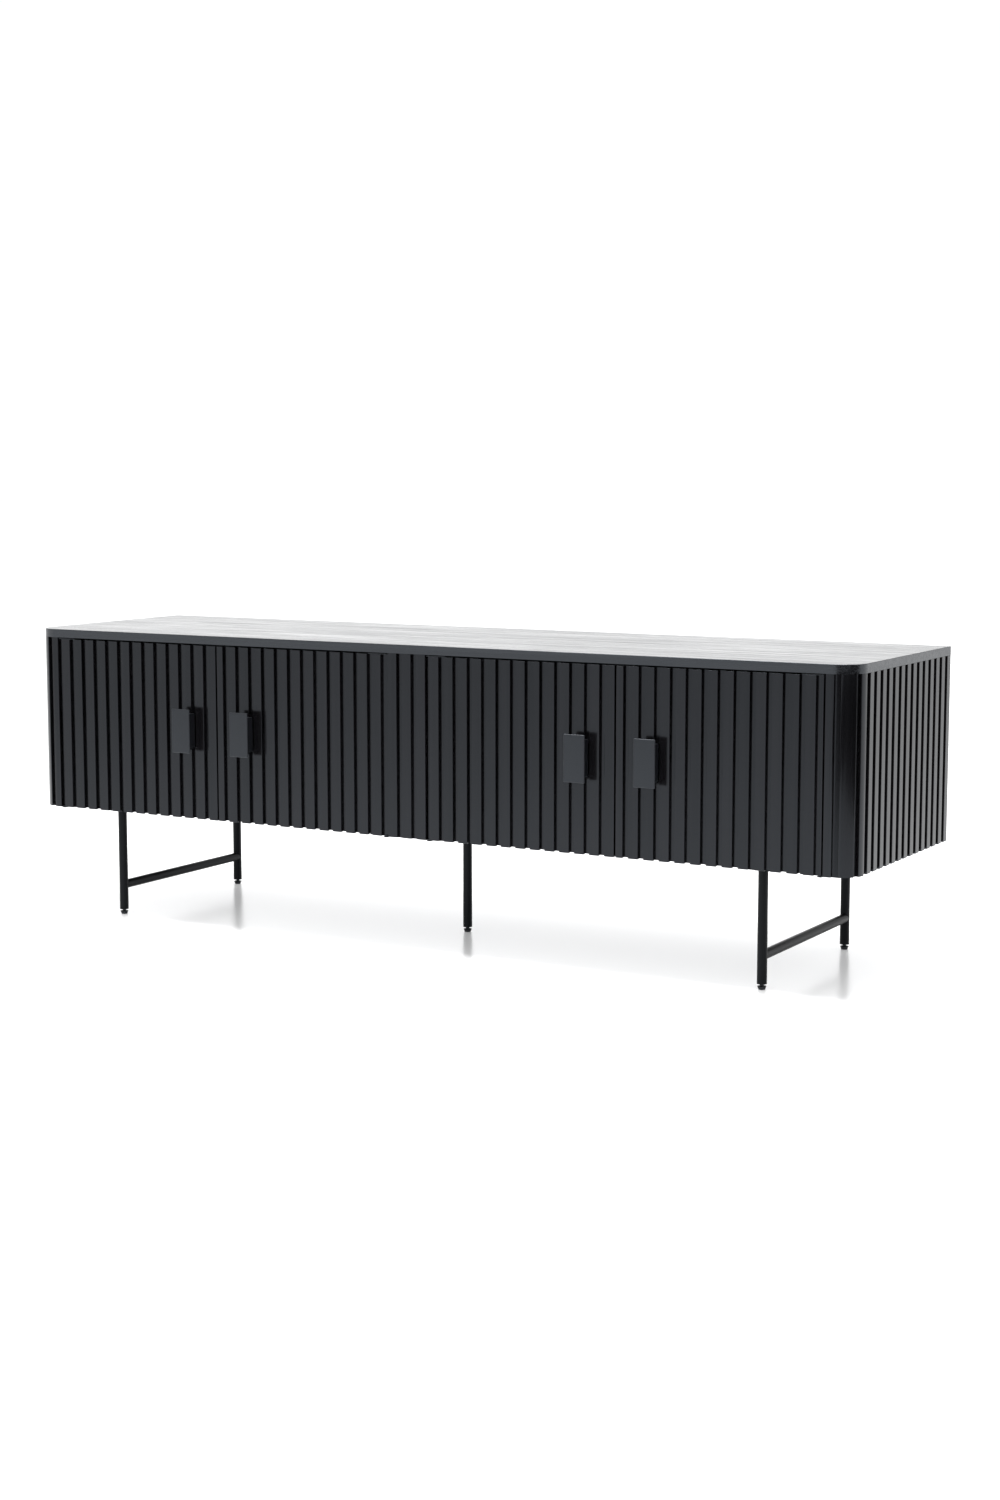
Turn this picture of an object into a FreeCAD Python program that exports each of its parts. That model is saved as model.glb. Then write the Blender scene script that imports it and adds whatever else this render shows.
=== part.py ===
"""Low sideboard with four fluted doors on a steel tube base.

Frame: +Z up, -Y is the front, +X to the right when seen from the front.
The origin is on the floor, midway across the width and midway from the handles
to the back.  Millimetres.
"""
import FreeCAD
import Part
import os
import re
import Sketcher

doc = FreeCAD.newDocument("Sideboard")
vector = FreeCAD.Vector
turned = FreeCAD.Rotation

# ------------------------------------------------------------ driving sizes
sheet = doc.addObject("Spreadsheet::Sheet", "Sizes")
SIZES = (
    # the whole cabinet
    ("overall_width", 1500),
    ("overall_depth", 400),
    ("overall_height", 490),
    ("floor_clearance", 183),
    ("corner_radius", 40),
    # boards
    ("top_thickness", 14),
    ("top_edge_round", 1),
    ("side_thickness", 13),
    ("bottom_thickness", 14),
    ("shelf_thickness", 14),
    ("divider_thickness", 18),
    ("back_thickness", 5),
    ("back_rebate", 7),
    ("corner_post_width", 48),
    ("corner_post_depth", 45),
    ("stile_width", 69.5),
    ("stile_post_depth", 30),
    # fluting
    ("slat_thickness", 5),
    ("slat_width", 16.8),
    ("side_slat_width", 14.8),
    ("slat_pitch", 25.6),
    ("cut_slat_width", 12),
    ("narrowest_slat", 2.5),
    ("narrowest_groove", 6.2),
    ("glue_line", 0.12),
    ("post_slat_sweep", 7),
    ("corner_slat_start", 21.5),
    ("corner_slat_sweep", 34.8),
    ("last_slat_start", 68.8),
    # doors
    ("door_thickness", 13),
    ("inner_door_width", 329.75),
    ("door_side_gap", 2),
    ("door_meeting_gap", 2.5),
    ("door_top_gap", 2.5),
    ("door_back_gap", 1.5),
    ("shelf_setback", 31),
    ("shelf_side_gap", 1),
    ("shelf_back_gap", 5),
    # pivots
    ("pivot_inset", 3.2),
    ("pivot_setback", 3.5),
    ("pin_radius", 1.5),
    ("pin_clearance", 0.05),
    ("pin_reach", 8),
    ("bush_wall", 0.95),
    ("bush_length", 8.5),
    ("pivot_plate_length", 34),
    ("pivot_plate_width", 15.5),
    ("pivot_plate_thickness", 1.2),
    ("pivot_plate_margin", 0.5),
    ("thrust_gap", 0.3),
    ("thrust_radius", 2.2),
    ("pivot_ear", 4.6),
    ("bracket_ear", 7),
    ("bracket_length", 29.5),
    ("bracket_width", 12),
    ("bracket_setback", 10),
    # handles
    ("handle_width", 36),
    ("handle_height", 73),
    ("handle_plate", 3),
    ("handle_reach", 22),
    ("handle_block_width", 28),
    ("handle_block_height", 57),
    ("handle_screw_spacing", 32),
    ("handle_inset", 57.4),
    ("handle_level", 332),
    # catches
    ("catch_length", 46),
    ("catch_depth", 15),
    ("catch_height", 12),
    ("magnet_length", 12),
    ("magnet_depth", 4),
    ("magnet_height", 6),
    ("magnet_offset", 11),
    ("magnet_lift", 2),
    ("catch_screw_offset", 8),
    ("catch_screw_setback", 10.5),
    ("strike_length", 14),
    ("strike_height", 10),
    ("strike_thickness", 1.2),
    ("strike_drop", 1),
    # base
    ("tube_radius", 7.5),
    ("tube_wall", 1.5),
    ("leg_side_inset", 154),
    ("leg_front_inset", 34),
    ("centre_leg_forward", 10),
    ("crossbar_level", 51),
    ("leg_plate_length", 60),
    ("leg_plate_width", 26),
    ("leg_plate_thickness", 3),
    ("leg_screw_spacing", 44),
    ("tube_end_level", 8.5),
    ("insert_length", 12),
    ("thread_clearance", 0.08),
    ("glide_rim_radius", 6.75),
    ("glide_sole_radius", 5),
    ("glide_rim_level", 5),
    ("glide_shoulder", 1),
    ("glide_neck_radius", 3.6),
    ("stem_radius", 2.9),
    ("stem_length", 20),
    # fixings
    ("shelf_pin_radius", 2.5),
    ("shelf_pin_depth", 8),
    ("shelf_pin_inset", 45),
    ("dowel_radius", 3),
    ("dowel_short_end", 9),
    ("dowel_long_end", 19),
    ("side_dowel_inset", 40),
    ("deck_dowel_inset", 60),
    ("post_dowel_setback", 15),
    ("stile_dowel_setback", 11),
    ("screw_radius", 1.5),
    ("screw_head_radius", 2.8),
    ("screw_head_height", 1.4),
    ("screw_length", 12),
    ("strike_screw_length", 8),
    ("catch_screw_length", 18),
    ("handle_screw_length", 24),
)
# Planes and levels that several pieces share, worked out from the sizes.
LEVELS = (
    ("front_face", "(handle_reach - overall_depth) / 2"),
    ("back_face", "front_face + overall_depth"),
    ("side_face", "overall_width / 2"),
    ("board_front", "front_face + slat_thickness"),
    ("board_side", "side_face - slat_thickness"),
    ("door_rear", "board_front + door_thickness"),
    ("inside_front", "door_rear + door_back_gap"),
    ("inside_back", "back_face - back_thickness"),
    ("side_inner", "board_side - side_thickness"),
    ("under_top", "overall_height - top_thickness"),
    ("body_height", "under_top - floor_clearance"),
    ("bottom_top", "floor_clearance + bottom_thickness"),
    ("post_inner", "side_face - corner_post_width"),
    ("post_rear", "board_front + corner_post_depth"),
    ("stile_half", "stile_width / 2"),
    ("stile_rear", "board_front + stile_post_depth"),
    ("divider_half", "divider_thickness / 2"),
    ("door_head", "under_top - door_top_gap"),
    ("slat_foot", "floor_clearance + thrust_gap"),
    ("door_foot", "slat_foot + pivot_plate_thickness"),
    ("outer_door_edge", "post_inner - door_side_gap"),
    ("inner_door_edge", "stile_half + door_side_gap"),
    ("inner_door_far", "inner_door_edge + inner_door_width"),
    ("outer_door_near", "inner_door_far + door_meeting_gap"),
    ("outer_door_width", "outer_door_edge - outer_door_near"),
    ("pivot_row", "front_face + pivot_setback"),
    ("arc_across", "side_face - corner_radius"),
    ("arc_along", "front_face + corner_radius"),
    ("shelf_level", "(bottom_top + under_top - shelf_thickness) / 2"),
    ("leg_across", "side_face - leg_side_inset"),
    ("leg_front_row", "front_face + leg_front_inset"),
    ("leg_back_row", "back_face - leg_front_inset"),
    ("centre_leg_row", "(front_face + back_face) / 2 - centre_leg_forward"),
    ("leg_plate_level", "floor_clearance - leg_plate_thickness"),
)
sheet.set("A1", "driving sizes, mm")
for row, (alias, number) in enumerate(SIZES, start=2):
    sheet.set("A%d" % row, alias.replace("_", " "))
    sheet.set("B%d" % row, str(number))
    sheet.setAlias("B%d" % row, alias)
for row, (alias, rule) in enumerate(LEVELS, start=2):
    sheet.set("D%d" % row, alias.replace("_", " "))
    sheet.set("E%d" % row, "=" + rule)
    sheet.setAlias("E%d" % row, alias)
doc.recompute()


def size(alias):
    """The number in a named cell."""
    return float(getattr(sheet, alias))


def bound(rule):
    """A rule in words of the sheet, as an expression."""
    return re.sub(r"[a-z]+(?:_[a-z]+)+", lambda word: "Sizes." + word.group(0), str(rule))


# ------------------------------------------------------------ drawing helpers
def bind(item, **rules):
    """Bind properties to the sheet; x, y and z stand for the piece's place."""
    for key, rule in rules.items():
        path = "Placement.Base." + key if key in "xyz" else key
        item.setExpression(path, bound(rule))
    return item


def box(name, x, y, z, length, width, height):
    """A block between its lowest corner and three bound lengths."""
    return bind(doc.addObject("Part::Box", name), x=x, y=y, z=z, Length=length, Width=width, Height=height)


WAYS = {
    "x": (turned(vector(0, 1, 0), 90), (1, 0, 0)),
    "y": (turned(vector(1, 0, 0), -90), (0, 1, 0)),
    "front": (turned(vector(1, 0, 0), 90), (0, -1, 0)),
    "up": (turned(), (0, 0, 1)),
    "down": (turned(vector(1, 0, 0), 180), (0, 0, -1)),
}


def rod(name, x, y, z, radius, length, way="up"):
    """A cylinder that starts at x, y, z and runs the given way."""
    item = doc.addObject("Part::Cylinder", name)
    item.Placement.Rotation = WAYS[way][0]
    return bind(item, x=x, y=y, z=z, Radius=radius, Height=length)


def cone(name, x, y, z, start, end, length, way="up"):
    item = doc.addObject("Part::Cone", name)
    item.Placement.Rotation = WAYS[way][0]
    return bind(item, x=x, y=y, z=z, Radius1=start, Radius2=end, Height=length)


def group(name, items):
    """Separate solids that share one node."""
    item = doc.addObject("Part::Compound", name)
    item.Links = items
    return item


def fuse(name, items):
    item = doc.addObject("Part::MultiFuse", name)
    item.Shapes = items
    return item


def cut(name, base, tools):
    item = doc.addObject("Part::Cut", name)
    item.Base = base
    item.Tool = tools[0] if len(tools) == 1 else group(name + "_cutters", tools)
    return item


def mirrored(name, source):
    """The same piece made for the left-hand side."""
    item = doc.addObject("Part::Mirroring", name)
    item.Source = source
    item.Normal = vector(1, 0, 0)
    return item


def screw(name, x, y, z, way, length="screw_length"):
    """A countersunk screw: its flat head lies at x, y, z and its shank runs the given way."""
    step = WAYS[way][1]
    neck = ["%s + %d * screw_head_height" % (rule, step[i]) for i, rule in enumerate((x, y, z))]
    head = cone(name + "_head", x, y, z, "screw_head_radius", "screw_radius", "screw_head_height", way)
    return fuse(name, [head, rod(name + "_shank", neck[0], neck[1], neck[2], "screw_radius", length, way)])


def rectangle_body(name, x, y, z, length, width, height, rounds=(), edge_round=None):
    """A sketched rectangle padded upwards; rounds are (side, radius rule) of its front corners."""
    body = doc.addObject("PartDesign::Body", name)
    base = [plane for plane in body.Origin.OriginFeatures if plane.Role == "XY_Plane"][0]
    outline = body.newObject("Sketcher::SketchObject", name + "_outline")
    outline.AttachmentSupport = [(base, "")]
    outline.MapMode = "FlatFace"
    corners = [vector(0, 0, 0), vector(100, 0, 0), vector(100, 50, 0), vector(0, 50, 0)]
    for i in range(4):
        outline.addGeometry(Part.LineSegment(corners[i], corners[(i + 1) % 4]), False)
    for i in range(4):
        outline.addConstraint(Sketcher.Constraint("Coincident", i, 2, (i + 1) % 4, 1))
        outline.addConstraint(Sketcher.Constraint("Horizontal" if i % 2 == 0 else "Vertical", i))
    outline.addConstraint(Sketcher.Constraint("Coincident", 0, 1, -1, 1))
    across = outline.addConstraint(Sketcher.Constraint("DistanceX", 0, 1, 0, 2, 100))
    along = outline.addConstraint(Sketcher.Constraint("DistanceY", 1, 1, 1, 2, 50))
    outline.setExpression("Constraints[%d]" % across, bound(length))
    outline.setExpression("Constraints[%d]" % along, bound(width))
    pad = body.newObject("PartDesign::Pad", name + "_pad")
    pad.Profile = outline
    outline.Visibility = False
    bind(pad, Length=height)
    doc.recompute()
    if rounds:
        sides = [side for side, _ in rounds]
        names = []
        box_of = pad.Shape.BoundBox
        for i, edge in enumerate(pad.Shape.Edges, start=1):
            middle = edge.CenterOfMass
            upright = abs(edge.BoundBox.ZLength - box_of.ZLength) < 0.01
            side = "right" if middle.x > box_of.Center.x else "left"
            if upright and middle.y < box_of.Center.y and side in sides:
                names.append("Edge%d" % i)
        corner = body.newObject("PartDesign::Fillet", name + "_corners")
        corner.Base = (pad, names)
        bind(corner, Radius=rounds[0][1])
        doc.recompute()
        pad = corner
    if edge_round:
        top = pad.Shape.BoundBox.ZMax
        names = []
        for i, edge in enumerate(pad.Shape.Edges, start=1):
            if edge.BoundBox.ZMin > top - 0.01:
                names.append("Edge%d" % i)
        soft = body.newObject("PartDesign::Fillet", name + "_soft_edge")
        soft.Base = (pad, names)
        bind(soft, Radius=edge_round)
        doc.recompute()
    return bind(body, x=x, y=y, z=z)


nodes = []


def node(item, name):
    """Name a finished piece for export."""
    item.Label = name
    nodes.append(item)
    return item


# ------------------------------------------------------------ fixings, first because they drill the boards
top_dowels = []
side_dowels = []
for i, place in enumerate(("post_rear + side_dowel_inset", "(post_rear + inside_back) / 2",
                           "inside_back - side_dowel_inset")):
    for side in (1, -1):
        dowel = rod("side_top_dowel_%d%+d" % (i, side), "%d * (side_inner + side_thickness / 2)" % side, place,
                    "under_top - dowel_long_end", "dowel_radius", "dowel_short_end + dowel_long_end")
        top_dowels.append(dowel)
        side_dowels.append(dowel)
end_dowels = []
for i, place in enumerate(("post_rear + deck_dowel_inset", "inside_back - deck_dowel_inset")):
    for side in (1, -1):
        start = "side_inner - dowel_long_end" if side > 0 else "-side_inner - dowel_short_end"
        end_dowels.append(rod("end_dowel_%d%+d" % (i, side), start, place,
                              "floor_clearance + bottom_thickness / 2", "dowel_radius", "dowel_short_end + dowel_long_end", "x"))
post_dowels = []
for name, place in (("right", "side_face - corner_post_width / 2"),
                    ("left", "-side_face + corner_post_width / 2")):
    post_dowels.append(rod("post_dowel_" + name, place, "post_rear - post_dowel_setback",
                           "under_top - dowel_long_end",
                           "dowel_radius", "dowel_short_end + dowel_long_end"))
stile_dowel = rod("post_dowel_centre", 0, "stile_rear - stile_dowel_setback", "under_top - dowel_long_end",
                  "dowel_radius", "dowel_short_end + dowel_long_end")
divider_dowels = []
for i, place in enumerate(("stile_rear + deck_dowel_inset", "inside_back - deck_dowel_inset")):
    divider_dowels.append(rod("divider_top_dowel_%d" % i, 0, place, "under_top - dowel_long_end",
                              "dowel_radius", "dowel_short_end + dowel_long_end"))
foot_dowels = []
for i, place in enumerate(("stile_rear + deck_dowel_inset", "inside_back - deck_dowel_inset")):
    foot_dowels.append(rod("divider_foot_dowel_%d" % i, 0, place, "bottom_top - dowel_short_end",
                           "dowel_radius", "dowel_short_end + dowel_long_end"))
top_dowels += post_dowels + [stile_dowel] + divider_dowels
node(group("all_dowels", top_dowels + end_dowels + foot_dowels), "carcass_dowels")

pins = {"right": [], "left": []}
for side, sign in (("right", 1), ("left", -1)):
    for i, place in enumerate(("post_rear + shelf_pin_inset", "inside_back - shelf_pin_inset")):
        for end, face in (("outer", "side_inner"), ("inner", "divider_half")):
            pins[side].append(rod("shelf_pin_%s_%s_%d" % (side, end, i),
                                  "%d * %s - shelf_pin_depth" % (sign, face), place,
                                  "shelf_level - shelf_pin_radius", "shelf_pin_radius",
                                  "2 * shelf_pin_depth", "x"))
node(group("shelf_pins", pins["right"] + pins["left"]), "shelf_pins")

back_screws = []
for i, place in enumerate(("0.8", "0.5", "0.2", "-0.2", "-0.5", "-0.8")):
    back_screws.append(screw("back_screw_low_%d" % i, place + " * side_face", "back_face",
                             "floor_clearance + bottom_thickness / 2", "front"))
divider_screws = []
edge_screws = []
for i, place in enumerate(("0.25", "0.5", "0.75")):
    level = "floor_clearance + %s * body_height" % place
    divider_screws.append(screw("back_screw_mid_%d" % i, "0", "back_face", level, "front"))
    for side in (1, -1):
        across = "%d * (side_inner + back_rebate / 2)" % side
        edge_screws.append(screw("back_screw_edge_%d%+d" % (i, side), across, "back_face", level, "front"))
node(group("back_panel_screws", back_screws + divider_screws + edge_screws), "back_panel_screws")

# ------------------------------------------------------------ base: plates, tubes, inserts, glides
LEGS = (
    ("right_front", "leg_across", "leg_front_row"),
    ("right_back", "leg_across", "leg_back_row"),
    ("left_front", "-leg_across", "leg_front_row"),
    ("left_back", "-leg_across", "leg_back_row"),
    ("centre", "0", "centre_leg_row"),
)
leg_screws = []
plates = []
inserts = []
for name, x, y in LEGS:
    pair = []
    for end in (1, -1):
        pair.append(screw("leg_screw_%s%+d" % (name, end), "%s + %d * leg_screw_spacing / 2" % (x, end), y,
                          "leg_plate_level", "up"))
    leg_screws += pair
    plate = box("leg_plate_" + name, "%s - leg_plate_length / 2" % x, "%s - leg_plate_width / 2" % y,
                "leg_plate_level", "leg_plate_length", "leg_plate_width", "leg_plate_thickness")
    plates.append(cut("leg_plate_drilled_" + name, plate, pair))
    outer = rod("tube_outer_" + name, x, y, "tube_end_level", "tube_radius", "leg_plate_level - tube_end_level")
    inner = rod("tube_inner_" + name, x, y, "tube_end_level", "tube_radius - tube_wall",
                "leg_plate_level - tube_end_level")
    node(cut(name + "_leg", outer, [inner]), name + "_leg")
    plug = rod("insert_outer_" + name, x, y, "tube_end_level", "tube_radius - tube_wall", "insert_length")
    bore = rod("insert_bore_" + name, x, y, "tube_end_level", "stem_radius + thread_clearance", "insert_length")
    inserts.append(cut("insert_" + name, plug, [bore]))
    sole = cone("glide_sole_" + name, x, y, 0, "glide_sole_radius", "glide_rim_radius", "glide_rim_level")
    shoulder = cone("glide_shoulder_" + name, x, y, "glide_rim_level", "glide_rim_radius", "glide_neck_radius",
                    "glide_shoulder")
    stem = rod("glide_stem_" + name, x, y, "glide_rim_level", "stem_radius", "stem_length")
    node(fuse("glide_" + name, [sole, shoulder, stem]), "glide_" + name)
node(group("leg_plates", plates), "leg_plates")
node(group("leg_screws", leg_screws), "leg_screws")
node(group("glide_inserts", inserts), "glide_inserts")
for side, x in (("right", "leg_across"), ("left", "-leg_across")):
    bar = rod("crossbar_outer_" + side, x, "leg_front_row", "crossbar_level", "tube_radius",
              "leg_back_row - leg_front_row", "y")
    bore = rod("crossbar_inner_" + side, x, "leg_front_row", "crossbar_level", "tube_radius - tube_wall",
               "leg_back_row - leg_front_row", "y")
    ends = [doc.getObject("tube_outer_%s_front" % side), doc.getObject("tube_outer_%s_back" % side)]
    node(cut(side + "_crossbar", bar, [bore] + ends), side + "_crossbar")

# ------------------------------------------------------------ pivots of the carcass
PIVOTS = (
    ("left_outer", "-outer_door_edge + pivot_inset", -1),
    ("left_inner", "-inner_door_edge - pivot_inset", 1),
    ("right_inner", "inner_door_edge + pivot_inset", -1),
    ("right_outer", "outer_door_edge - pivot_inset", 1),
)
bushes = []
bush_holes = []
brackets = []
bracket_screws = []
for name, x, away in PIVOTS:
    hole = rod("bush_hole_" + name, x, "pivot_row", "under_top", "pin_radius + pin_clearance + bush_wall",
               "bush_length")
    bush_holes.append(hole)
    bore = rod("bush_bore_" + name, x, "pivot_row", "under_top", "pin_radius + pin_clearance", "bush_length")
    bushes.append(cut("bush_" + name, hole, [bore]))
    ear = box("bracket_ear_" + name, "%s - bracket_ear / 2" % x, "front_face + pivot_plate_margin",
              "floor_clearance - pivot_plate_thickness", "bracket_ear",
              "bracket_setback + bracket_width - pivot_plate_margin", "pivot_plate_thickness")
    start = "%s - bracket_ear / 2" % x if away > 0 else "%s + bracket_ear / 2 - bracket_length" % x
    arm = box("bracket_arm_" + name, start, "front_face + bracket_setback",
              "floor_clearance - pivot_plate_thickness", "bracket_length", "bracket_width",
              "pivot_plate_thickness")
    washer = rod("bracket_washer_" + name, x, "pivot_row", "floor_clearance", "thrust_radius", "thrust_gap")
    pin = rod("bracket_pin_" + name, x, "pivot_row", "floor_clearance", "pin_radius",
              "thrust_gap + pivot_plate_thickness")
    screws = []
    for i, reach in enumerate(("0.4", "0.7")):
        screws.append(screw("bracket_screw_%s_%d" % (name, i), "%s + %d * %s * bracket_length" % (x, away, reach),
                            "front_face + bracket_setback + bracket_width / 2",
                            "floor_clearance - pivot_plate_thickness", "up"))
    bracket_screws.append(screws)
    solid = fuse("bracket_solid_" + name, [ear, arm, washer, pin])
    brackets.append(cut("bracket_" + name, solid, screws))
node(group("top_pivot_bushes", bushes), "top_pivot_bushes")
node(group("bottom_pivot_brackets", brackets), "bottom_pivot_brackets")

# ------------------------------------------------------------ magnetic catches
catch_screws = []
catches = []
for name, middle in (("left", "-inner_door_far - door_meeting_gap / 2"),
                     ("right", "inner_door_far + door_meeting_gap / 2")):
    housing = box("catch_housing_" + name, "%s - catch_length / 2" % middle, "inside_front",
                  "under_top - catch_height", "catch_length", "catch_depth", "catch_height")
    magnets = []
    screws = []
    for end in (1, -1):
        magnets.append(box("catch_magnet_%s%+d" % (name, end),
                           "%s + %d * magnet_offset - magnet_length / 2" % (middle, end), "inside_front",
                           "under_top - catch_height + magnet_lift", "magnet_length", "magnet_depth",
                           "magnet_height"))
        screws.append(screw("catch_screw_%s%+d" % (name, end), "%s + %d * catch_screw_offset" % (middle, end),
                            "inside_front + catch_screw_setback", "under_top - catch_height", "up",
                            "catch_screw_length"))
    catch_screws += screws
    catches += [cut("catch_%s" % name, housing, magnets + screws)] + magnets
node(group("magnetic_catches", catches), "magnetic_catches")
all_bracket_screws = [item for screws in bracket_screws for item in screws]
node(group("hinge_and_catch_screws", all_bracket_screws + catch_screws), "hinge_and_catch_screws")

# ------------------------------------------------------------ boards
top = rectangle_body("top_board", "-side_face", "front_face", "under_top", "overall_width", "overall_depth",
                     "top_thickness", (("right", "corner_radius"), ("left", "corner_radius")), "top_edge_round")
node(cut("top_panel", top, top_dowels + bush_holes + catch_screws), "top_panel")

deck = box("bottom_board", "-side_inner", "inside_front", "floor_clearance", "2 * side_inner",
           "inside_back - inside_front", "bottom_thickness")
notches = [
    box("notch_right", "post_inner", "inside_front", "floor_clearance", "corner_post_width",
        "post_rear - inside_front", "bottom_thickness"),
    box("notch_left", "-side_face", "inside_front", "floor_clearance", "corner_post_width",
        "post_rear - inside_front", "bottom_thickness"),
    box("notch_centre", "-stile_half", "inside_front", "floor_clearance", "stile_width",
        "stile_rear - inside_front", "bottom_thickness"),
]
node(cut("bottom_panel", deck, notches + end_dowels + foot_dowels + leg_screws + back_screws), "bottom_panel")

back = box("back_board", "-(side_inner + back_rebate)", "inside_back", "floor_clearance",
           "2 * (side_inner + back_rebate)", "back_thickness", "body_height")
node(cut("back_panel", back, back_screws + divider_screws + edge_screws), "back_panel")

side_board = box("side_board", "side_inner", "post_rear", "floor_clearance", "side_thickness",
                 "back_face - post_rear", "body_height")
rebate = box("side_rebate", "side_inner", "inside_back", "floor_clearance", "back_rebate", "back_thickness",
             "body_height")
right_side = node(cut("right_side_panel", side_board, [rebate] + side_dowels + end_dowels + pins["right"]
                      + edge_screws), "right_side_panel")
node(mirrored("left_side_panel", right_side), "left_side_panel")

post = rectangle_body("post_blank", "post_inner", "board_front", "floor_clearance",
                      "corner_post_width - slat_thickness", "corner_post_depth", "body_height",
                      (("right", "corner_radius - slat_thickness"),))
right_post = node(cut("right_corner_post", post, [post_dowels[0]] + bracket_screws[3]), "right_corner_post")
node(mirrored("left_corner_post", right_post), "left_corner_post")

stile = box("stile_post", "-stile_half", "board_front", "floor_clearance", "stile_width", "stile_post_depth",
            "body_height")
node(cut("centre_post", stile, [stile_dowel] + bracket_screws[1] + bracket_screws[2]), "centre_post")

divider = box("divider_board", "-divider_half", "stile_rear", "bottom_top", "divider_thickness",
              "inside_back - stile_rear", "under_top - bottom_top")
node(cut("centre_divider", divider, divider_dowels + foot_dowels + divider_screws + pins["right"]
         + pins["left"]), "centre_divider")

for side, start in (("right", "divider_half + shelf_side_gap"), ("left", "-side_inner + shelf_side_gap")):
    node(box(side + "_shelf", start, "inside_front + shelf_setback + shelf_back_gap", "shelf_level",
             "side_inner - divider_half - 2 * shelf_side_gap",
             "inside_back - inside_front - shelf_setback - 2 * shelf_back_gap", "shelf_thickness"),
         side + "_shelf")

# ------------------------------------------------------------ fixed fluting
stile_slats = []
for i in range(3):
    stile_slats.append(box("stile_slat_%d" % i, "-stile_half + %d * (stile_width - slat_width) / 2" % i,
                           "front_face", "floor_clearance", "slat_width", "slat_thickness", "body_height"))
node(group("centre_stile_slats", stile_slats), "centre_stile_slats")


def bent_slat(name, start, sweep):
    """A slat that follows the rounded corner; angles are measured from the front."""
    outer = rod(name + "_outer", "arc_across", "arc_along", "floor_clearance", "corner_radius", "body_height")
    outer.Placement.Rotation = turned(vector(0, 0, 1), start - 90)
    bind(outer, Angle=sweep)
    core = rod(name + "_core", "arc_across", "arc_along", "floor_clearance",
               "corner_radius - slat_thickness + glue_line", "body_height")
    return cut(name, outer, [core])


post_slat = fuse("post_slat", [
    box("post_slat_flat_part", "post_inner", "front_face", "floor_clearance", "arc_across - post_inner",
        "slat_thickness", "body_height"),
    bent_slat("post_slat_bent", 0, "post_slat_sweep"),
])
side_slats = [
    post_slat,
    bent_slat("corner_slat", size("corner_slat_start"), "corner_slat_sweep"),
    bent_slat("last_corner_slat", size("last_slat_start"), "90 - last_slat_start"),
]
room = size("overall_depth") - size("corner_radius") - size("narrowest_groove")
count = int((room - size("side_slat_width")) / size("slat_pitch")) + 1
for i in range(count):
    side_slats.append(box("side_slat_%d" % i, "board_side", "back_face - side_slat_width - %d * slat_pitch" % i,
                          "floor_clearance", "slat_thickness", "side_slat_width", "body_height"))
right_slats = node(group("right_side_slats", side_slats), "right_side_slats")
node(mirrored("left_side_slats", right_slats), "left_side_slats")


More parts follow.
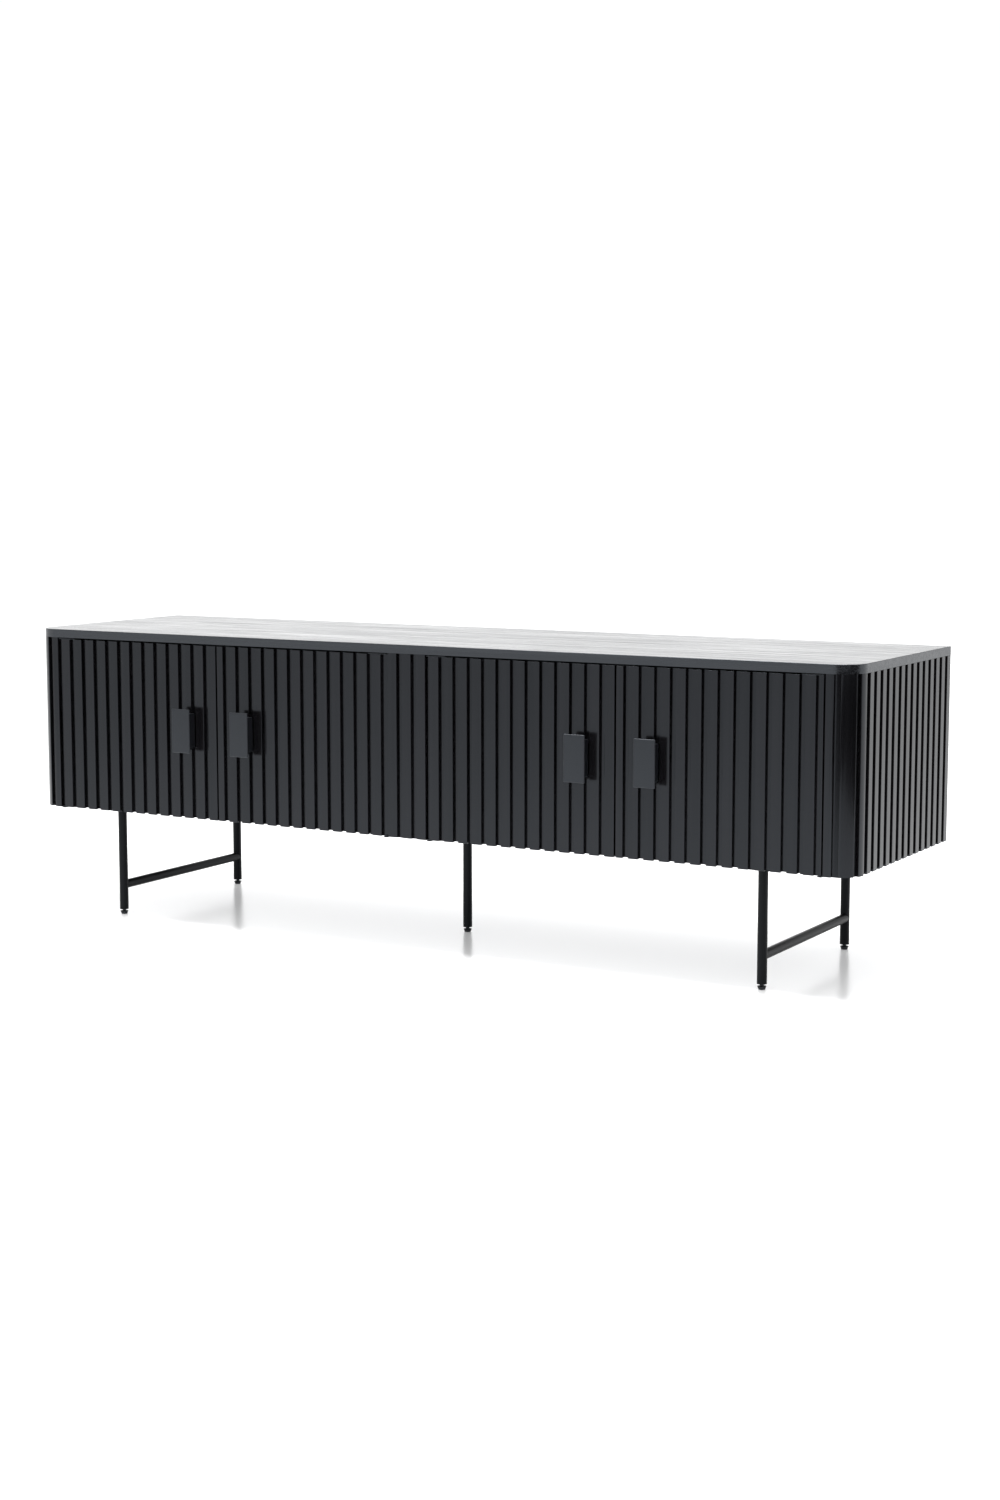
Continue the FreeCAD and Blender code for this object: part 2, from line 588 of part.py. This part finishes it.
# ------------------------------------------------------------ doors
def door(name, start, width_alias, hinge):
    """One door with everything that swings with it; hinge is its left (-1) or right (1) edge."""
    pivot = "%s + pivot_inset" % start if hinge < 0 else "%s + %s - pivot_inset" % (start, width_alias)
    grip = ("%s + %s - handle_inset" % (start, width_alias)) if hinge < 0 else "%s + handle_inset" % start
    if hinge < 0:
        plate_start = "%s + pivot_plate_margin" % start
    else:
        plate_start = "%s + %s - pivot_plate_margin - pivot_plate_length" % (start, width_alias)
    hinge_screws = {"head": [], "foot": []}
    for end in ("head", "foot"):
        for i, reach in enumerate(("0.4", "0.8")):
            across = "%s + %d * %s * pivot_plate_length" % (pivot, -hinge, reach)
            face = "door_head + pivot_plate_thickness" if end == "head" else "slat_foot"
            hinge_screws[end].append(screw("%s_%s_screw_%d" % (name, end, i), across,
                                           "board_front + door_thickness / 2", face,
                                           "down" if end == "head" else "up"))
    head_plate = box(name + "_head_plate", plate_start, "front_face + pivot_plate_margin", "door_head",
                     "pivot_plate_length", "pivot_plate_width", "pivot_plate_thickness")
    foot_plate = box(name + "_foot_plate", plate_start, "board_front", "slat_foot", "pivot_plate_length",
                     "pivot_plate_width + pivot_plate_margin - slat_thickness", "pivot_plate_thickness")
    foot_ear = box(name + "_foot_ear", "%s - pivot_ear / 2" % pivot, "front_face + pivot_plate_margin",
                   "slat_foot", "pivot_ear", "slat_thickness", "pivot_plate_thickness")
    pin = rod(name + "_pin", pivot, "pivot_row", "door_head", "pin_radius",
              "under_top - door_head + pin_reach - thrust_gap")
    eye = rod(name + "_eye", pivot, "pivot_row", "slat_foot", "pin_radius + pin_clearance",
              "pivot_plate_thickness")
    upper = cut(name + "_upper_pivot", fuse(name + "_pinned_plate", [head_plate, pin]), hinge_screws["head"])
    lower = cut(name + "_lower_pivot", fuse(name + "_eared_plate", [foot_plate, foot_ear]),
                [eye] + hinge_screws["foot"])
    node(group(name + "_pivots", [upper, lower]), name + "_pivots")

    handle_screws = []
    for end in (1, -1):
        height = "handle_level + %d * handle_screw_spacing / 2" % end
        handle_screws.append(screw("%s_handle_screw%+d" % (name, end), grip, "door_rear", height, "front",
                                   "handle_screw_length"))
    block = box(name + "_handle_block", "%s - handle_block_width / 2" % grip,
                "front_face - handle_reach + handle_plate", "handle_level - handle_block_height / 2",
                "handle_block_width", "handle_reach - handle_plate", "handle_block_height")
    plate = rectangle_body(name + "_handle_plate", "%s - handle_width / 2" % grip, "front_face - handle_reach",
                           "handle_level - handle_height / 2", "handle_width", "handle_plate", "handle_height")
    node(cut(name + "_handle", fuse(name + "_handle_solid", [plate, block]), handle_screws), name + "_handle")

    if hinge < 0:
        tab_start = "%s + %s - door_meeting_gap - strike_length" % (start, width_alias)
    else:
        tab_start = "%s + door_meeting_gap" % start
    strike_screw = screw(name + "_strike_screw", "%s + strike_length / 2" % tab_start,
                         "door_rear + strike_thickness", "door_head - strike_drop - strike_height / 2", "front",
                         "strike_screw_length")
    tab = box(name + "_strike_plate", tab_start, "door_rear", "door_head - strike_drop - strike_height",
              "strike_length", "strike_thickness", "strike_height")
    node(cut(name + "_strike", tab, [strike_screw]), name + "_strike")

    screws = hinge_screws["head"] + hinge_screws["foot"] + handle_screws + [strike_screw]
    node(group(name + "_screws", screws), name + "_screws")
    board = box(name + "_board", start, "board_front", "door_foot", width_alias, "door_thickness",
                "door_head - door_foot")
    node(cut(name + "_panel", board, screws), name + "_panel")

    # Whole slats are counted from the meeting edge; a right-hand door starts with a cut one.
    # A cut slat at the hinge edge stands on the lower pivot plate, the others reach past it.
    width = size(width_alias)
    pitch = size("slat_pitch")
    strips = []
    if hinge > 0:
        lead = "cut_slat_width + slat_pitch - slat_width"
        offset = size("cut_slat_width") + pitch - size("slat_width")
        strips.append((start, "cut_slat_width"))
    else:
        lead = "0"
        offset = 0.0
    whole = int((width - offset - size("slat_width")) / pitch) + 1
    for i in range(whole):
        if hinge > 0:
            strips.append(("%s + %s + %d * slat_pitch" % (start, lead, i), "slat_width"))
        else:
            strips.append(("%s + %s - slat_width - %d * slat_pitch" % (start, width_alias, i), "slat_width"))
    rest = width - offset - whole * pitch
    feet = ["slat_foot"] * len(strips)
    if hinge > 0 and rest > size("narrowest_slat"):
        feet.append("door_foot")
        strips.append(("%s + %s + %d * slat_pitch" % (start, lead, whole),
                       "%s - (%s) - %d * slat_pitch" % (width_alias, lead, whole)))
    slats = []
    for i, (across, wide) in enumerate(strips):
        slat = box("%s_slat_%d" % (name, i), across, "front_face", feet[i], wide, "slat_thickness",
                   "door_head - " + feet[i])
        near = offset + (i - 1) * pitch if hinge > 0 else i * pitch
        reach = size("handle_inset") - near
        if -size("screw_radius") < reach < size("slat_width") + size("screw_radius"):
            slat = cut("%s_drilled_slat_%d" % (name, i), slat, handle_screws)
        slats.append(slat)
    node(group(name + "_slats", slats), name + "_slats")


door("left_outer", "-outer_door_edge", "outer_door_width", -1)
door("left_inner", "-inner_door_far", "inner_door_width", 1)
door("right_inner", "inner_door_edge", "inner_door_width", -1)
door("right_outer", "outer_door_near", "outer_door_width", 1)

# ------------------------------------------------------------ check and export
doc.recompute()
for item in doc.Objects:
    troubles = [state for state in item.State if state in ("Invalid", "Error")]
    if troubles:
        raise RuntimeError("%s could not be worked out: %s" % (item.Name, troubles))
    if hasattr(item, "Shape") and item in nodes:
        if item.Shape.isNull() or not item.Shape.isValid():
            raise RuntimeError("%s has no sound shape" % item.Name)
os.makedirs("parts", exist_ok=True)
for item in nodes:
    item.Shape.exportStep("parts/%s.step" % item.Label)
    bounds = item.Shape.BoundBox
    print("%-26s %3d solids  x %8.2f %8.2f  y %8.2f %8.2f  z %7.2f %7.2f" % (
        item.Label, len(item.Shape.Solids), bounds.XMin, bounds.XMax, bounds.YMin, bounds.YMax,
        bounds.ZMin, bounds.ZMax))
print("%d pieces exported" % len(nodes))
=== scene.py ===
# %% [markdown]
# # A fluted black sideboard
#
# This lesson dresses a long, low sideboard.  The cabinet-maker's model gives every board, slat, tube and
# screw its true place; here the pieces that catch the eye get eased edges, and every piece gets the finish
# of its real material.  We start by loading that model and keeping its outer size.

import math

import bmesh
import bpy
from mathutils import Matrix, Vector


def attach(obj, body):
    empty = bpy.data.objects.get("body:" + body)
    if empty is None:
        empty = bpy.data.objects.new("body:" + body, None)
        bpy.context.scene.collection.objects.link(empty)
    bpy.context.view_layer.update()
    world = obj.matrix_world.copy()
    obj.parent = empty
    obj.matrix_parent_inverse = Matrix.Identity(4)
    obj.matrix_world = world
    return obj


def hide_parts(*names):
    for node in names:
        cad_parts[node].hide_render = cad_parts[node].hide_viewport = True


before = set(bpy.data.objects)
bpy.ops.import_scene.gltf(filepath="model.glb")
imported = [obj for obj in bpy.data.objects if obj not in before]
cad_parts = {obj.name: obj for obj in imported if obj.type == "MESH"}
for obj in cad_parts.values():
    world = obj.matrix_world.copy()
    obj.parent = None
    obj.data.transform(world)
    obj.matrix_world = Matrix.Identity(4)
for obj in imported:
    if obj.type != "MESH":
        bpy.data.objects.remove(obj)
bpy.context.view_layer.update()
print("pieces in the frame:", len(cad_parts))


# %% [markdown]
# Colours are written as the hex values a paint chart gives.  Shaders work with linear light, so one small
# function turns each value over.  A second one adds a shader node, sets its inputs and links what is given.
# A third starts a material, and a fourth gives a plain finish its fine bumps.

# %% Helpers for materials
HIGHLIGHT_TINT = "e6effa"  # what shines on the finishes is a slightly cool white


def paint(hex_value):
    """An sRGB hex value as linear colour."""
    parts = [int(hex_value[i : i + 2], 16) / 255 for i in (0, 2, 4)]
    linear = [c / 12.92 if c <= 0.04045 else ((c + 0.055) / 1.055) ** 2.4 for c in parts]
    return (*linear, 1.0)


def add_node(tree, kind, settings=None, **inputs):
    """Adds a node; inputs are numbers, colours or the sockets that feed it, named with _ for a space."""
    made = tree.nodes.new(kind)
    for name, number in (settings or {}).items():
        setattr(made, name, number)
    for name, given in inputs.items():
        socket = made.inputs[int(name[1:])] if name[0] == "_" else made.inputs[name.replace("_", " ")]
        if isinstance(given, bpy.types.NodeSocket):
            tree.links.new(given, socket)
        else:
            socket.default_value = given
    return made


def new_material(name, colour, roughness, metallic=0.0):
    """A material with its plain Principled shader, ready for patterns."""
    material = bpy.data.materials.new(name)
    material.use_nodes = True
    shader = material.node_tree.nodes["Principled BSDF"]
    shader.inputs["Base Color"].default_value = paint(colour)
    shader.inputs["Roughness"].default_value = roughness
    shader.inputs["Metallic"].default_value = metallic
    shader.inputs["Specular Tint"].default_value = paint(HIGHLIGHT_TINT)
    material.diffuse_color = paint(colour)
    return material, material.node_tree, shader


def roughen(tree, shader, scale, detail, strength, depth):
    """Fine bumps of noise, depth in metres, on a finish of one colour."""
    place = add_node(tree, "ShaderNodeTexCoord").outputs["Object"]
    noise = add_node(tree, "ShaderNodeTexNoise", Vector=place, Scale=scale, Detail=detail)
    bumps = add_node(tree, "ShaderNodeBump", Height=noise.outputs["Fac"], Strength=strength, Distance=depth)
    tree.links.new(bumps.outputs["Normal"], shader.inputs["Normal"])


print("helpers ready")


# %% [markdown]
# The boards are oak veneer, brushed so that the soft wood between the pores wears down, stained black and
# sprayed with a thin satin lacquer.  To the eye that is a near-black that shines softly, broken by long
# fine pores that run with the grain.  Noise stretched along the grain draws it: one noise for the pores,
# about a millimetre wide and some centimetres long, and a broad one for the streaks of early and late wood.
# The grain runs upwards in doors, sides and slats and lengthwise in the top, so the same recipe is made
# twice with another direction.

# %% Black stained oak
ALONG_X = 0
UPWARDS = 2

# The figure of the wood, in metres.
PORE_WIDTH = 0.0011
PORE_LENGTH = 0.045
STREAK_WIDTH = 0.007
STREAK_LENGTH = 0.35
WORN_DEPTH = 0.0004

# How much each board's own tone and the pores count beside the streaks.
BOARD_SHARE = 0.35
PORE_SHARE = 0.6

# The stain, and where its darkest and lightest tones fall in the noise.
STAIN_DARK = "040405"
STAIN_LIGHT = "111012"
DARK_FROM = 0.30
LIGHT_FROM = 0.95
FIGURE_LOW = 0.45
FIGURE_HIGH = 1.15


def black_oak(name, grain, roughness, depth, contrast, shine):
    """Stained oak with its grain along one axis; roughness swings by contrast to both sides."""
    material, tree, shader = new_material(name, "09090a", roughness)
    shader.inputs["Specular IOR Level"].default_value = shine
    place = add_node(tree, "ShaderNodeTexCoord").outputs["Object"]
    pore_scale = [1 / PORE_WIDTH] * 3
    pore_scale[grain] = 1 / PORE_LENGTH
    streak_scale = [1 / STREAK_WIDTH] * 3
    streak_scale[grain] = 1 / STREAK_LENGTH
    pores_at = add_node(tree, "ShaderNodeMapping", Vector=place, Scale=pore_scale)
    streaks_at = add_node(tree, "ShaderNodeMapping", Vector=place, Scale=streak_scale)
    pores = add_node(tree, "ShaderNodeTexNoise", Vector=pores_at.outputs["Vector"], Scale=1.0, Detail=3.0)
    streaks = add_node(tree, "ShaderNodeTexNoise", Vector=streaks_at.outputs["Vector"], Scale=1.0,
                       Detail=5.0, Distortion=0.4)
    island = add_node(tree, "ShaderNodeNewGeometry").outputs["Random Per Island"]
    blend = add_node(tree, "ShaderNodeMath", {"operation": "MULTIPLY_ADD"}, _0=island, _1=BOARD_SHARE,
                     _2=streaks.outputs["Fac"])
    tone = add_node(tree, "ShaderNodeValToRGB", Fac=blend.outputs["Value"])
    dark, light = tone.color_ramp.elements
    dark.position = DARK_FROM
    dark.color = paint(STAIN_DARK)
    light.position = LIGHT_FROM
    light.color = paint(STAIN_LIGHT)
    tree.links.new(tone.outputs["Color"], shader.inputs["Base Color"])
    both = add_node(tree, "ShaderNodeMath", {"operation": "MULTIPLY_ADD"}, _0=pores.outputs["Fac"],
                    _1=PORE_SHARE, _2=streaks.outputs["Fac"])
    gloss = add_node(tree, "ShaderNodeMapRange", Value=both.outputs["Value"])
    gloss.inputs["From Min"].default_value = FIGURE_LOW
    gloss.inputs["From Max"].default_value = FIGURE_HIGH
    gloss.inputs["To Min"].default_value = roughness - contrast
    gloss.inputs["To Max"].default_value = roughness + contrast
    tree.links.new(gloss.outputs["Result"], shader.inputs["Roughness"])
    relief = add_node(tree, "ShaderNodeBump", Height=both.outputs["Value"], Strength=depth,
                      Distance=WORN_DEPTH)
    tree.links.new(relief.outputs["Normal"], shader.inputs["Normal"])
    return material


oak_upright = black_oak("black stained oak, brushed, grain upright", UPWARDS,
                        roughness=0.18, depth=0.10, contrast=0.04, shine=0.37)
oak_lengthwise = black_oak("black stained oak, brushed, grain lengthwise", ALONG_X,
                           roughness=0.26, depth=0.15, contrast=0.17, shine=0.80)
print(oak_upright.name, "and", oak_lengthwise.name)


# %% [markdown]
# Steel parts come in four finishes.  The legs are powder coated: a baked resin skin with a faint orange
# peel.  The pulls are lacquered satin.  Hidden fittings are phosphated black, and the screws and bushes
# are zinc plated, which leaves the bright grey of the metal.

# %% Metals
coat_black, tree, shader = new_material("powder coated steel, black", "080808", 0.38)
shader.inputs["Specular IOR Level"].default_value = 0.16
roughen(tree, shader, scale=650.0, detail=1.0, strength=0.12, depth=0.0003)

pull_black, tree, shader = new_material("lacquered steel, satin black", "101114", 0.34)
roughen(tree, shader, scale=900.0, detail=2.0, strength=0.08, depth=0.0002)

fitting_black = new_material("phosphated steel, black", "26272a", 0.5, metallic=0.6)[0]
zinc = new_material("zinc plated steel", "a9adb1", 0.32, metallic=1.0)[0]
print("metals ready")


# %% [markdown]
# The last finishes: moulded polyamide for the glides, their sockets and the catches; painted hardboard for
# the back; and raw beech for the dowels inside.

# %% Plastics, hardboard, beech
nylon = new_material("polyamide, moulded black", "0e0e0f", 0.42)[0]

hardboard, tree, shader = new_material("hardboard, painted black", "0e0e0f", 0.6)
roughen(tree, shader, scale=420.0, detail=3.0, strength=0.2, depth=0.0003)

beech = new_material("beech, raw", "b98f62", 0.6)[0]
print("plastics and boards ready")

# %% [markdown]
# Each piece of the frame now gets its finish by what it is called.

# %% Hand out the finishes
DOORS = ("left_outer", "left_inner", "right_inner", "right_outer")
LENGTHWISE = ("top_panel", "bottom_panel", "left_shelf", "right_shelf")


def finish_of(name):
    """The finish that the real piece has."""
    if name in LENGTHWISE:
        return oak_lengthwise
    if name == "back_panel":
        return hardboard
    if name == "carcass_dowels":
        return beech
    if name == "glide_inserts" or name == "magnetic_catches" or name.startswith("glide_"):
        return nylon
    if name.endswith(("_screws", "_strike", "_pins", "_bushes")):
        return zinc
    if name.endswith("_handle"):
        return pull_black
    if name.endswith(("_pivots", "_brackets")):
        return fitting_black
    if name.endswith(("_leg", "_crossbar", "_plates")):
        return coat_black
    return oak_upright


for name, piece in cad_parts.items():
    piece.data.materials.clear()
    piece.data.materials.append(finish_of(name))
print("finishes given to", len(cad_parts), "pieces")


# %% [markdown]
# A saw leaves an edge like a knife, and no maker leaves it so: slats are eased with sandpaper, and the pulls
# get one narrow bevel.  It catches the light along each edge.  We copy the piece, join its loose triangles,
# clear the lines inside flat faces, and bevel only the long sharp edges.  A weighted normal keeps the flat
# faces flat.

# %% Ease the edges
SLAT_EASE = 0.0007
PULL_BEVEL = 0.0012
SAME_POINT = 1e-6
FLAT_WITHIN = 0.02
SHARP_FROM = 0.7


def eased(name, body, radius, shortest, segments=2):
    """A copy of a frame piece with its sharp edges longer than shortest eased, standing in for it."""
    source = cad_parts[name]
    made = bmesh.new()
    made.from_mesh(source.data)
    bmesh.ops.remove_doubles(made, verts=made.verts, dist=SAME_POINT)
    bmesh.ops.dissolve_limit(made, angle_limit=FLAT_WITHIN, verts=made.verts, edges=made.edges)
    sharp = [
        edge
        for edge in made.edges
        if len(edge.link_faces) == 2
        and edge.calc_length() > shortest
        and edge.calc_face_angle() > SHARP_FROM
    ]
    bmesh.ops.bevel(made, geom=sharp, offset=radius, segments=segments, profile=0.5, affect="EDGES",
                    material=-1)
    mesh = bpy.data.meshes.new(name + "_eased")
    made.to_mesh(mesh)
    made.free()
    for face in mesh.polygons:
        face.use_smooth = True
    piece = bpy.data.objects.new(name + "_eased", mesh)
    bpy.context.scene.collection.objects.link(piece)
    piece.data.materials.append(finish_of(name))
    soft = piece.modifiers.new("even faces", "WEIGHTED_NORMAL")
    soft.weight = 80
    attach(piece, body)
    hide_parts(name)
    return len(sharp)


edges_eased = 0
for name in ("left_side_slats", "right_side_slats", "centre_stile_slats"):
    edges_eased += eased(name, "cabinet", SLAT_EASE, shortest=0.010)
for door in DOORS:
    edges_eased += eased(door + "_slats", door + "_door", SLAT_EASE, shortest=0.004)
    edges_eased += eased(door + "_handle", door + "_door", PULL_BEVEL, shortest=0.0029, segments=1)
print("edges eased:", edges_eased)

# %% [markdown]
# The studio: a white glossy floor that runs out of sight, white air all round, and big soft panels of light.
# The white air lights the doors.  A long panel behind the cabinet makes the top gleam, one overhead evens
# it out, and a weak one behind on the right shines along the fluted end.

# %% Floor and air
FLOOR_HALF = 30.0
FLOOR_GLOW = 0.17
AIR_STRENGTH = 1.02

floor_mesh = bpy.data.meshes.new("floor")
plane = bmesh.new()
bmesh.ops.create_grid(plane, x_segments=1, y_segments=1, size=FLOOR_HALF)
plane.to_mesh(floor_mesh)
plane.free()
floor = bpy.data.objects.new("floor", floor_mesh)
bpy.context.scene.collection.objects.link(floor)
floor_white, tree, shader = new_material("painted board, white gloss", "f4f4f4", 0.22)
shader.inputs["Emission Color"].default_value = (1, 1, 1, 1)
shader.inputs["Emission Strength"].default_value = FLOOR_GLOW
floor.data.materials.append(floor_white)

world = bpy.data.worlds.new("white air")
world.use_nodes = True
world.node_tree.nodes["Background"].inputs["Color"].default_value = (1, 1, 1, 1)
world.node_tree.nodes["Background"].inputs["Strength"].default_value = AIR_STRENGTH
bpy.context.scene.world = world
bpy.context.scene.view_settings.view_transform = "Standard"
print("floor and air ready")


# %% Lights
def panel(name, place, target, width, height, power):
    """A soft light panel at place that faces target."""
    light = bpy.data.lights.new(name, "AREA")
    light.shape = "RECTANGLE"
    light.size = width
    light.size_y = height
    light.energy = power
    lamp = bpy.data.objects.new(name, light)
    lamp.location = place
    lamp.rotation_euler = (Vector(target) - Vector(place)).to_track_quat("-Z", "Y").to_euler()
    bpy.context.scene.collection.objects.link(lamp)


panel("end light, back right", (3.4, 4.6, 0.9), target=(0.75, 0, 0.35), width=2.2, height=2.0, power=4)
panel("back light, behind the cabinet", (-6.6, 7.0, 1.7), target=(0, 0, 0.4), width=12.0, height=3.2,
      power=96)
panel("overhead", (0, -0.3, 2.8), target=(0, 0, 0), width=2.4, height=0.8, power=110)

# %% [markdown]
# Black furniture shows its shape by what it mirrors, so black cloth, called a flag, hangs where a face should
# go dark.  Two flags stand at the front right: the rounded corner mirrors them, which parts
# the front from the lit end.  They are seen only in reflections and throw no shade.

# %% Flags
FLAG_HEIGHT = 0.62
FLAGS_MEET = (2.2, -1.9)

cloth = new_material("black cloth", "010101", 1.0)[0]
cloth.node_tree.nodes["Principled BSDF"].inputs["Specular IOR Level"].default_value = 0.0


def flag(name, start, end, height):
    """An upright black card between two points of the floor, seen only in reflections."""
    card = bmesh.new()
    foot = [card.verts.new((*start, 0.0)), card.verts.new((*end, 0.0))]
    edge = card.edges.new(foot)
    raised = bmesh.ops.extrude_edge_only(card, edges=[edge])["geom"]
    upper = [part for part in raised if isinstance(part, bmesh.types.BMVert)]
    bmesh.ops.translate(card, vec=(0, 0, height), verts=upper)
    mesh = bpy.data.meshes.new(name)
    card.to_mesh(mesh)
    card.free()
    hung = bpy.data.objects.new(name, mesh)
    bpy.context.scene.collection.objects.link(hung)
    hung.data.materials.append(cloth)
    hung.visible_camera = False
    hung.visible_diffuse = False
    hung.visible_shadow = False


flag("flag by the camera", (0.75, -2.3), FLAGS_MEET, FLAG_HEIGHT)
flag("flag at the right", FLAGS_MEET, (2.3, 0.15), FLAG_HEIGHT)
print("flags hung")

# %% [markdown]
# The camera stands to the right of the middle, a little above the cabinet's top.  It is turned to the left
# and looks a little down.

# %% Camera
FOCAL_LENGTH = 56.616  # millimetres
LOOK_DOWN = 0.1226  # radians
LOOK_LEFT = 0.51665  # radians
FAR_ENOUGH = 100  # metres

lens = bpy.data.cameras.new("camera")
lens.lens = FOCAL_LENGTH
lens.clip_end = FAR_ENOUGH
camera = bpy.data.objects.new("camera", lens)
camera.location = (1.94982, -3.32246, 0.77863)
camera.rotation_euler = (math.pi / 2 - LOOK_DOWN, 0, LOOK_LEFT)
bpy.context.scene.collection.objects.link(camera)
bpy.context.scene.camera = camera
print("lens %.1f mm" % lens.lens)
